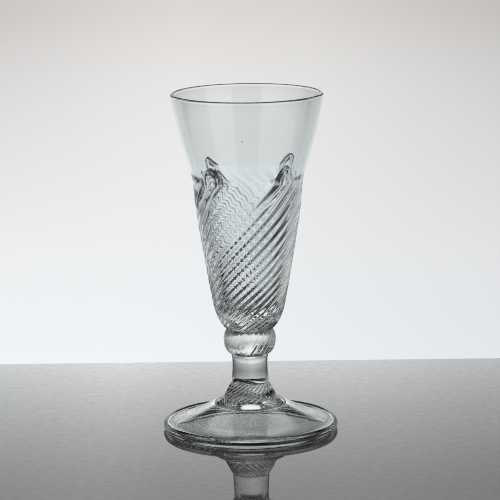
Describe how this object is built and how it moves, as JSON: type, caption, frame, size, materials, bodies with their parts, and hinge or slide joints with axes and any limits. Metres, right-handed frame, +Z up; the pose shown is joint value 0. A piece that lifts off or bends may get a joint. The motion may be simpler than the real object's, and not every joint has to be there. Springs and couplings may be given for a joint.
{
  "type": "dwarf ale glass",
  "caption": "Short-stemmed drinking glass: tall conical bowl in a ribbed, twisted second gather with flame points, knop, collar and folded conical foot.",
  "frame": {"origin": "on the table plane at the centre of the foot", "axes": "+Z up along the glass's axis; -Y is the front, midway between two flame points"},
  "size_m": [0.0672, 0.0672, 0.1301],
  "materials": {
    "bowl_glass": "fire-polished, smooth inside and out",
    "ribbed_glass": "mould-ribbed, twisted and fire-polished",
    "foot_glass": "fire-polished, with light wear on the foot",
    "snapped_glass": "rough, as snapped"
  },
  "bodies": {
    "root": {"bowl": "bowl_glass", "wrythen_gather": "ribbed_glass", "knop": "ribbed_glass", "stem": "foot_glass", "collar": "ribbed_glass", "foot": "foot_glass", "foot_fold": "foot_glass", "pontil_mark": "snapped_glass"}
  },
  "joints": []
}
